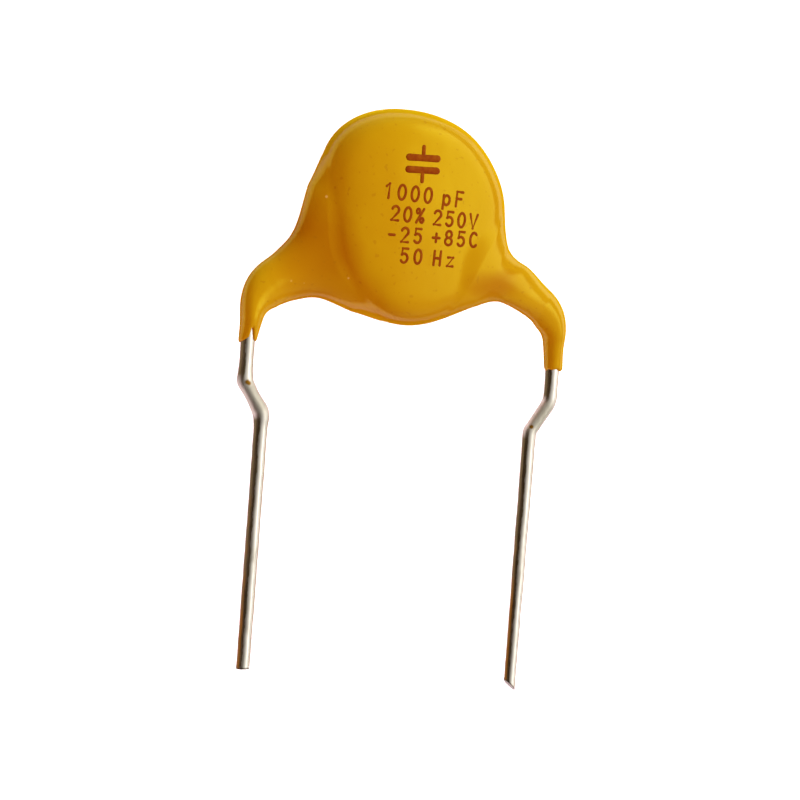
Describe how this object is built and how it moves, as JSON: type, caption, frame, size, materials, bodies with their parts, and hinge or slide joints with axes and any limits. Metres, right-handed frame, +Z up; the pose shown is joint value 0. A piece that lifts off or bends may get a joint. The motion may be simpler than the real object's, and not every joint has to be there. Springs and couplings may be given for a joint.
{
  "type": "ceramic disc capacitor",
  "caption": "Small dipped ceramic disc capacitor with two kinked radial wire leads, an ochre epoxy coat and brown print.",
  "frame": {"origin": "under the middle of the footprint, on the surface that the part lies on", "axes": "+Y from the lead tips towards the top of the disc, +Z up through the disc's thickness, X across the leads"},
  "size_m": [0.0152, 0.0244, 0.0028],
  "materials": {
    "epoxy": "satin",
    "ceramic": "matte",
    "silver": "satin",
    "solder": "satin",
    "tinned_wire": "glossy"
  },
  "bodies": {
    "root": {"epoxy_coat": "epoxy", "ceramic_disc": "ceramic", "front_electrode": "silver", "back_electrode": "silver", "front_solder_joint": "solder", "back_solder_joint": "solder", "front_lead": "tinned_wire", "back_lead": "tinned_wire"}
  },
  "joints": []
}
